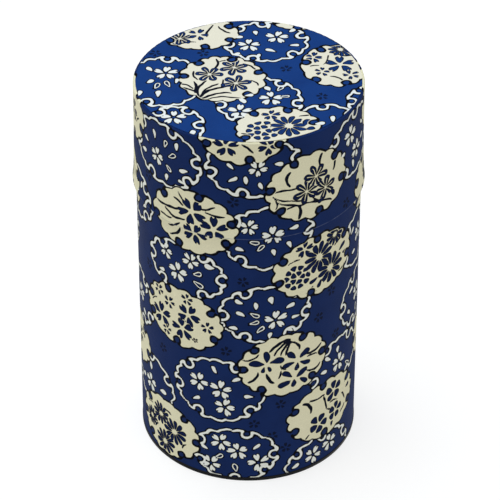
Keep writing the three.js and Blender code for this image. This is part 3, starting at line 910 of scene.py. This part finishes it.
def paper_back(groups):
    """The unprinted side of the paper, yellowed by paste."""
    material, tree, shader, place = new_material("paper_back", "UV")
    sheet = use_group(tree, groups["fibres"], place=place)
    paste = sheet["cloud"].graded(0.35, 0.65)
    colour = mixed(tree, paste, rgb(0.62, 0.57, 0.44), rgb(0.5, 0.43, 0.29))
    surface(tree, shader, colour, paste * -0.2 + 0.85, sheet["height"], 0.06)
    return material


def tinplate(name, groups, coordinates):
    """Bright rolled tinplate with a soft bloom, scratches and finger marks."""
    material, tree, shader, place = new_material(name, coordinates)
    grain = use_group(tree, groups["grain"], place=place)
    smudge = use_group(tree, groups["handling"], place=place)["smudge"]
    colour = mixed(tree, grain["bloom"], rgb(0.81, 0.805, 0.79), rgb(0.7, 0.7, 0.695))
    rough = grain["lines"].graded(0.25, 0.75, 0.2, 0.3) + grain["bloom"] * 0.1
    rough = rough + smudge * 0.12 + grain["scratches"] * 0.15
    shader.inputs["Metallic"].default_value = 1.0
    surface(tree, shader, colour, rough, grain["lines"] * 0.5 - grain["scratches"] * 0.5 + 0.5, 0.012)
    return material


def knob_metal(groups):
    """Polished plated metal with faint turning marks that follow the profile."""
    material, tree, shader, place = new_material("knob_metal", "UV")
    smudge = use_group(tree, groups["handling"], place=place)["smudge"]
    marks = noise(tree, place, 3500, 2, 0, (0.004, 1, 1))
    colour = mixed(tree, smudge, rgb(0.82, 0.82, 0.8), rgb(0.7, 0.7, 0.69))
    shader.inputs["Metallic"].default_value = 1.0
    surface(tree, shader, colour, marks.graded(0.3, 0.7, 0.07, 0.13) + smudge * 0.16, marks, 0.004)
    return material


def black_lacquer(groups):
    """Baked black lacquer with a fine orange peel, worn through to the tin on the edge it stands on."""
    material, tree, shader, place = new_material("black_lacquer", "Object")
    smudge = use_group(tree, groups["handling"], place=place)["smudge"]
    level = parts_of(tree, place)[2] / MM
    patches = noise(tree, place, 300, 5, 0.4)
    worn = patches.graded(0.63, 0.7) * level.graded(0.35, 0.05)
    colour = mixed(tree, worn, rgb(0.006, 0.006, 0.007), rgb(0.45, 0.45, 0.44))
    fill(tree, shader.inputs["Metallic"], worn)
    shader.inputs["Specular IOR Level"].default_value = 0.2
    rough = smudge * 0.15 + patches.graded(0.2, 0.8, 0.3, 0.42)
    surface(tree, shader, colour, rough, noise(tree, place, 700, 2), 0.01)
    return material


INKS = {
    "key": rgb(0.0015, 0.002, 0.004),
    "brush": rgb(0.003, 0.005, 0.014),
    "petal_edge": rgb(0.003, 0.005, 0.014),
    # a painted highlight, laid along the lid's mouth
    "mouth_highlight": rgb(0.16, 0.19, 0.29),
}
SIDE_INKS = {
    **INKS,
    "ground": rgb(0.0075, 0.0245, 0.112),
    "ground_deep": rgb(0.0062, 0.02, 0.092),
    "faint": rgb(0.003, 0.007, 0.028),
    "flower": rgb(0.004, 0.012, 0.058),
    "cream": rgb(0.79, 0.755, 0.53),
    "white": rgb(0.83, 0.85, 0.785),
}
# Painted light: the top is the same paper as the side, but its inks are made lighter and bluer, the blue
# ground about twice as light, for the top that faces the lamp.
TOP_INKS_PAINTED_LIGHTER = {
    **INKS,
    "ground": rgb(0.0075, 0.047, 0.215),
    "ground_deep": rgb(0.006, 0.038, 0.18),
    "faint": rgb(0.003, 0.012, 0.05),
    "flower": rgb(0.007, 0.035, 0.155),
    "cream": rgb(0.8, 0.765, 0.625),
    "white": rgb(0.82, 0.85, 0.83),
}


def make_materials():
    groups = {
        "print": print_group(petal_group()),
        "fibres": fibre_group(),
        "grain": grain_group(),
        "handling": handling_group(),
    }
    return {
        "side_print": printed_paper("side_print", groups, SIDE_INKS),
        "top_print": printed_paper("top_print", groups, TOP_INKS_PAINTED_LIGHTER),
        "paper_back": paper_back(groups),
        "tin_wall": tinplate("tinplate_wall", groups, "UV"),
        "tin_flat": tinplate("tinplate_flat", groups, "Object"),
        "knob": knob_metal(groups),
        "lacquer": black_lacquer(groups),
    }


# ---------------------------------------------------------------- the pieces


def band(points, sheet_v, lap=0, pleat=0, printed=True):
    """Rows of a paper wall: radius, height, place up the sheet, how far the lap and the pleats show, and
    whether the row is on the printed side."""
    places = np.broadcast_to(sheet_v, len(points))
    return [(r, z, v, lap, pleat, printed) for (r, z), v in zip(points, places)]


def paper_wall(name, rows, columns):
    """A wall of printed paper from the rows of a closed profile, its sheet's two ends lapped at the back.

    Round the sheet, the lap stands the wall out by a soft step. Pleats are the cube of a raised sine wave
    whose pace wanders a little.
    """
    radius, height, sheet_v, lap, pleat, printed = np.array(rows, float).T[:, :, None]
    u = np.linspace(SHEET_END - SHEET_LENGTH + SHEET_GAP, SHEET_END - SHEET_GAP, columns)
    turn = u / BODY_RADIUS
    gather = (0.5 + 0.5 * np.sin(PLEATS * turn + 0.8 * np.sin(5 * turn))) ** 3
    grid = round_the_axis(
        radius + lap * lap_step(u, SHEET_END, LAP_WIDTH, LAP),
        height - pleat * gather * PLEAT_DEPTH,
        turn,
    )
    profile = np.hstack([radius, height])
    piece = swept(name, grid, np.append(u, u[0] + SHEET_LENGTH), run_along(profile, closed=True))
    grid_u, grid_v = np.broadcast_arrays(u, sheet_v)
    print_on(piece.data, grid_u.ravel(), grid_v.ravel(), *side_print())
    plain = 1 - printed[:, 0] * np.roll(printed[:, 0], -1)
    piece.data.polygons.foreach_set("material_index", np.repeat(plain, columns).astype(np.int32))
    return piece


def body_print():
    foot, head, outer = extent("body_paper")
    inner = outer - PAPER
    heights = np.linspace(foot + EDGE, head - EDGE, 180)
    outside = [(outer - EDGE, foot), *[(outer, z) for z in heights], (outer - EDGE, head)]
    rows = [
        *band(outside, [z for _, z in outside], lap=1),
        *band([(inner, head), (inner, foot)], foot, printed=False),
    ]
    return paper_wall("body_print", rows, 420)


def lid_print_side():
    """The lid's sheet: turned up inside the mouth, up the wall, and folded in over the top edge."""
    edge = LID_EDGE_ROUND
    head = extent("lid_side_paper")[1]
    wall = np.linspace(PAPER, head - edge - LID_MOUTH, 84)
    corner = arc(LID_RADIUS - edge, head - edge, edge, 8, 90, 5)
    fold_start = LID_RADIUS - edge
    fold_end = fold_start - LID_FOLD_OVER
    fold = [(r, head) for r in np.linspace(fold_start, fold_end, 7)[1:]]
    under = head - PAPER
    fold_under = [(fold_end, under), (fold_start, under), (LID_RADIUS - PAPER - GLUE, under - 3 * GLUE)]
    backing = lid_wall(PAPER, [wall[-1] - PAPER / 2, 24, 12, 5, 1.5, 0.3])
    inset = 2 * GLUE + TIN + PAPER
    strip = np.linspace(LID_TURN_IN, PAPER, 14)
    rounded = TOP - edge + math.pi / 2 * edge
    rows = [
        *band([(lid_radius(0) - EDGE, LID_MOUTH)], LID_MOUTH, lap=1),
        *band(lid_wall(0, wall), LID_MOUTH + wall, lap=1),
        *band(corner, np.linspace(TOP - edge, rounded, len(corner)), pleat=1),
        *band(fold, [rounded + fold_start - r for r, _ in fold], pleat=1),
        *band([*fold_under, *backing, *lid_wall(inset, strip[::-1][::6])], LID_MOUTH, printed=False),
        *band(lid_wall(inset + PAPER, strip), LID_MOUTH - strip),
        *band([(lid_radius(0) - inset - PAPER / 2, LID_MOUTH)], LID_MOUTH),
    ]
    return paper_wall("lid_print_side", rows, 520)


def lid_print_top():
    """The disc of paper on the lid, its print laid out on x and y."""
    foot, _, radius = extent("lid_top_paper")
    profile = [
        (0, foot),
        (radius / 2, foot),
        (radius - EDGE, foot),
        (radius, foot + EDGE),
        (radius, TOP - EDGE),
        *[(r, TOP) for r in np.linspace(radius - EDGE, 0, 86)],
    ]
    piece = turned("lid_print_top", profile, 440)
    mesh = piece.data
    x, y, _ = np.array([v.co for v in mesh.vertices]).T / MM
    flowers = inked(TOP_WHITE_FLOWERS, TOP_DARK_FLOWERS, TOP_FAINT_PLACES)
    print_on(mesh, x, y, TOP_CREAM, TOP_RINGS, TOP_STROKES, flowers)
    corners, _ = read_faces(mesh)
    flat_uv = np.stack([x[corners], y[corners]], -1) * MM
    mesh.uv_layers["sheet"].data.foreach_set("uv", flat_uv.ravel())
    normals = np.empty(len(mesh.polygons) * 3)
    mesh.polygons.foreach_get("normal", normals)
    mesh.polygons.foreach_set("material_index", (normals[2::3] < -0.5).astype(np.int32))
    return piece


def body_tube():
    foot, head, outer = extent("body_tube")
    inner = outer - TIN
    seam_head = extent("inner_sleeve")[0] - 2 * SEAM_FADE
    seam_foot = extent("bottom_end")[1] + 2 * SEAM_FADE
    rows = [
        (inner, foot, 0),
        (outer, foot, 0),
        (outer, head, 0),
        (inner, head, 0),
        (inner, seam_head, 0),
        (inner, seam_head - SEAM_FADE, -1),
        (inner, seam_foot + SEAM_FADE, -1),
        (inner, seam_foot, 0),
    ]
    return seamed("tube", rows)


def bottom_end():
    """The black bottom: a recessed panel with a raised ring, and a rim hemmed round the tube's lower edge."""
    _, head, rim_outer = extent("bottom_end")
    tube_foot, _, tube_outer = extent("body_tube")
    panel = head - TIN
    rim_top = extent("body_paper")[0] - GAP
    hem_outer = tube_outer + GAP
    hem_inner = tube_outer - TIN - GAP
    bead = pressed_ring(*BASE_BEAD, panel, 9)
    profile = [
        (0, panel),
        *bead,
        *arc(WELL_RADIUS - WELL_ROUND, panel - WELL_ROUND, WELL_ROUND, 90, 0),
        *arc(WELL_RADIUS + HEM_ROUND, HEM_ROUND, HEM_ROUND, 180, 270, 5),
        *arc(rim_outer - HEM_ROUND, HEM_ROUND, HEM_ROUND, -90, 0, 5),
        *arc(rim_outer - HEM_LIP, rim_top - HEM_LIP, HEM_LIP, 0, 90, 3),
        (hem_outer, rim_top),
        (hem_outer, tube_foot - GAP),
        (hem_inner, tube_foot - GAP),
        (hem_inner, head),
        *[(r, z + TIN) for r, z in reversed(bead)],
        (0, head),
    ]
    return turned("bottom", profile)


def inner_sleeve():
    """The neck that the lid slides over. Its rim is curled inward, and its seam shows at the back."""
    foot, _, outer = extent("inner_sleeve")
    curl = SLEEVE_CURL
    middle = SLEEVE_RIM - curl
    inner = outer - TIN
    seam_foot = extent("body_tube")[1] + SEAM_FADE
    seam_head = middle - 4
    seam_end = seam_head + 2 * SEAM_FADE
    rows = [
        (inner, foot, -1),
        (outer, foot, 0),
        (outer, seam_foot, 0),
        (outer, seam_foot + SEAM_FADE, 0.5),
        (outer, seam_head, 0.5),
        (outer, seam_end, 0),
        *[(r, z, 0) for r, z in arc(outer - curl, middle, curl, 0, SLEEVE_CURL_TURN, 20)],
        (inner, middle - 1.4 * curl, 0),
        (inner, seam_end, 0),
        (inner, seam_head, -1),
    ]
    return seamed("neck", rows)


def inner_lid_pan():
    """The pressed inner lid: a flat floor with a stiffening bead, a drawn wall and a curled flange."""
    floor, _, widest = extent("inner_lid_pan")
    flange_foot = floor + PAN_DEPTH
    outer = PAN_RADIUS
    bend = FLANGE_BEND
    curl = FLANGE_CURL
    corner = PAN_CORNER
    bead = pressed_ring(*PAN_BEAD, floor, 13)
    profile = [
        (RIVET_HOLE, floor),
        *bead,
        *arc(outer - corner, floor + corner, corner, -90, 0),
        (outer, flange_foot - 2 * TIN),
        *arc(outer + bend, flange_foot - bend, bend, 180, 90, 4),
        *arc(widest - curl, flange_foot + curl, curl, -90, FLANGE_CURL_TURN - 90, 14),
        (outer + bend + TIN, flange_foot + TIN),
        *arc(outer + bend, flange_foot - bend, bend + TIN, 90, 180, 5),
        *arc(outer - TIN - corner, floor + TIN + corner, corner, 0, -90),
        *[(r, z + TIN) for r, z in reversed(bead)],
        (RIVET_HOLE, floor + TIN),
    ]
    return turned("pan", profile)


def washer():
    foot, head, radius = extent("knob_washer")
    profile = [
        (RIVET_HOLE, foot),
        (radius - GLUE, foot),
        (radius, foot + GLUE),
        *arc(radius - WASHER_ROUND, head - WASHER_ROUND, WASHER_ROUND, 0, 90, 4),
        (RIVET_HOLE, head),
    ]
    return turned("washer", profile, 128)


def knob():
    """The knob: a foot, a waist and a domed cap.

    The waist's radius is the neck's, with a bell curve added at the foot and a power of the height under
    the cap. The dome falls off with a power of its radius.
    """
    foot, head, _ = extent("inner_lid_knob")
    cap = KNOB_RADIUS
    neck = KNOB_NECK
    lip = head - foot - KNOB_CAP
    spread, spread_height = KNOB_FOOT
    waist_head = lip - 0.9
    waist_z = np.linspace(0.5, waist_head, 24)
    flare = np.clip((waist_z - KNOB_FLARE_START) / (waist_head - KNOB_FLARE_START), 0, 1)
    waist_r = neck + spread * np.exp(-((waist_z - 0.2) / spread_height) ** 2)
    waist_r = waist_r + (cap - 1.25 - neck) * flare ** 2.4
    dome_edge = cap - 0.35
    dome_turn = np.radians(np.linspace(KNOB_SHOULDER, 90, 16))[1:-1]
    dome_r = dome_edge * np.cos(dome_turn) / math.cos(math.radians(KNOB_SHOULDER))
    dome_z = head - KNOB_DOME * (dome_r / dome_edge) ** 2.2
    hole_top = (foot + head) / 2
    profile = [
        (0, hole_top),
        (RIVET_HOLE, hole_top),
        (RIVET_HOLE, foot),
        (neck + 1.2, foot),
        (neck + 1.35, foot + 0.15),
        *zip(waist_r, foot + waist_z),
        *arc(cap - KNOB_LIP, foot + lip, KNOB_LIP, -55, KNOB_SHOULDER, 12),
        *zip(dome_r, dome_z),
        (0, head),
    ]
    return turned("knob", profile, 160)


def rivet():
    """The rivet through the pan and the knob: an elliptical head underneath and a plain shank."""
    foot, top, _ = extent("knob_rivet")
    head = RIVET_HEAD_RADIUS
    seat = foot + RIVET_HEAD_HEIGHT
    dome = RIVET_HEAD_HEIGHT - RIVET_RIM
    turns = np.linspace(0, math.pi / 2, 12)
    profile = [
        *zip(head * np.sin(turns), foot + dome - dome * np.cos(turns)),
        (head, seat),
        (RIVET_RADIUS, seat),
        (RIVET_RADIUS, top - RIVET_RIM),
        (RIVET_RADIUS - RIVET_RIM, top),
        (0, top),
    ]
    return turned("rivet", profile, 128)


def lid_tube():
    foot, head, _ = extent("lid_tube")
    heights = [foot - LID_MOUTH, 1, 2, 3.5, 5, 8, 12, 18, 24, 31, head - LID_MOUTH]
    inset = PAPER + GLUE
    outside = [(r, z, 0) for r, z in lid_wall(inset, heights)]
    inside = [(r, z, -1) for r, z in lid_wall(inset + TIN, heights)[::-1]]
    inside[0] = (*inside[0][:2], 0)
    return seamed("lid_tube_wall", [*outside, *inside])


def lid_top_plate():
    """The lid's top: pressed like a shallow cap, with its skirt inside the tube."""
    foot, head, outer = extent("lid_top_plate")
    inner = outer - TIN
    under = head - TIN
    round_out, round_in = PLATE_ROUND
    profile = [
        (0, under),
        *arc(inner - round_in, under - round_in, round_in, 90, 0, 5),
        (inner, foot),
        (outer, foot),
        *arc(outer - round_out, head - round_out, round_out, 0, 90, 5),
        (0, head),
    ]
    return turned("lid_plate", profile)


# ---------------------------------------------------------------- the studio


def pale_floor():
    """A square just under the tin, seen only from above so that the base can be looked at from below.

    Reflections see it lit in broad strips, the cosine of twice the clock angle, so that bare metal has
    light and dark to show. Everything else sees one even glow.
    """
    half = FLOOR_HALF
    corners = [(x, y, -FLOOR_DROP) for x, y in ((-half, -half), (half, -half), (half, half), (-half, half))]
    mesh = bpy.data.meshes.new("floor")
    mesh.from_pydata(corners, [], [(0, 1, 2, 3)])
    floor = bpy.data.objects.new("floor", mesh)
    bpy.context.scene.collection.objects.link(floor)
    material, tree, shader, place = new_material("pale_floor", "Object")
    shade = mixed(tree, noise(tree, place, 3, 2), rgb(0.34, 0.34, 0.34), rgb(0.32, 0.32, 0.32))
    fill(tree, shader.inputs["Base Color"], shade)
    shader.inputs["Roughness"].default_value = 0.9
    shader.inputs["Specular IOR Level"].default_value = 0.1
    shader.inputs["Emission Color"].default_value = rgb(1, 1, 1)
    x, y, _ = parts_of(tree, place)
    strips = (y.math("ARCTAN2", x) * 2 + 0.9).math("COSINE").graded(-1, 1, *STRIP_GLOW)
    reflected = Field(tree, add(tree, "LightPath").outputs["Is Glossy Ray"])
    fill(tree, shader.inputs["Emission Strength"], reflected * (strips - FLOOR_GLOW) + FLOOR_GLOW)
    clear = add(tree, "BsdfTransparent").outputs[0]
    behind = add(tree, "NewGeometry").outputs["Backfacing"]
    shown = add(tree, "MixShader", {0: behind, 1: shader.outputs[0], 2: clear}).outputs[0]
    fill(tree, tree.nodes["Material Output"].inputs["Surface"], shown)
    mesh.materials.append(material)


def soft_light(name, place, size, watts, colour):
    """A square lamp that looks at the middle of the tin."""
    data = bpy.data.lights.new(name, "AREA")
    data.size = size
    data.energy = watts
    data.color = colour
    lamp = bpy.data.objects.new(name, data)
    lamp.location = place
    aim = Vector((0, 0, TOP * MM / 2)) - Vector(place)
    lamp.rotation_euler = aim.to_track_quat("-Z", "Y").to_euler()
    bpy.context.scene.collection.objects.link(lamp)


def studio():
    pale_floor()
    world = bpy.data.worlds.new("studio")
    world.use_nodes = True
    sky = world.node_tree.nodes["Background"].inputs
    sky["Color"].default_value = rgb(1, 0.99, 0.97)
    sky["Strength"].default_value = WORLD_STRENGTH
    bpy.context.scene.world = world
    soft_light("overhead", (-0.25, 0.1, 1.6), 1.1, KEY_WATTS, (0.93, 1.0, 1.06))
    bpy.context.scene.view_settings.view_transform = "Standard"


def camera():
    """The camera in front of the tin, above it and looking down at its middle."""
    data = bpy.data.cameras.new("camera")
    data.lens = CAMERA_LENS
    data.sensor_width = 36
    made = bpy.data.objects.new("camera", data)
    tilt = Matrix.Rotation(math.radians(90 - CAMERA_PITCH), 4, "X")
    turn = Matrix.Rotation(-CAMERA_YAW, 4, "Z")
    roll = Matrix.Rotation(CAMERA_ROLL, 4, "Z")
    made.matrix_world = Matrix.Translation(CAMERA_PLACE) @ turn @ tilt @ roll
    bpy.context.scene.collection.objects.link(made)
    bpy.context.scene.camera = made


# Each piece: how it is made, the body it moves with, the node it stands for, its slot and its materials.
PIECES = [
    (body_print, "body", "body_paper", "printed_paper", ("side_print", "paper_back")),
    (body_tube, "body", "body_tube", "tinplate", ("tin_wall",)),
    (bottom_end, "body", "bottom_end", "black_lacquer", ("lacquer",)),
    (inner_sleeve, "body", "inner_sleeve", "tinplate", ("tin_wall",)),
    (inner_lid_pan, "inner_lid", "inner_lid_pan", "tinplate", ("tin_flat",)),
    (washer, "inner_lid", "knob_washer", "tinplate", ("tin_flat",)),
    (knob, "inner_lid", "inner_lid_knob", "knob_metal", ("knob",)),
    (rivet, "inner_lid", "knob_rivet", "knob_metal", ("knob",)),
    (lid_print_side, "lid", "lid_side_paper", "printed_paper", ("side_print", "paper_back")),
    (lid_print_top, "lid", "lid_top_paper", "printed_paper", ("top_print", "paper_back")),
    (lid_tube, "lid", "lid_tube", "tinplate", ("tin_wall",)),
    (lid_top_plate, "lid", "lid_top_plate", "tinplate", ("tin_flat",)),
]

camera()
studio()
materials = make_materials()
for make, body, node, slot, finishes in PIECES:
    piece = make()
    for finish in finishes:
        piece.data.materials.append(materials[finish])
    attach(piece, body)
    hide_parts(node)
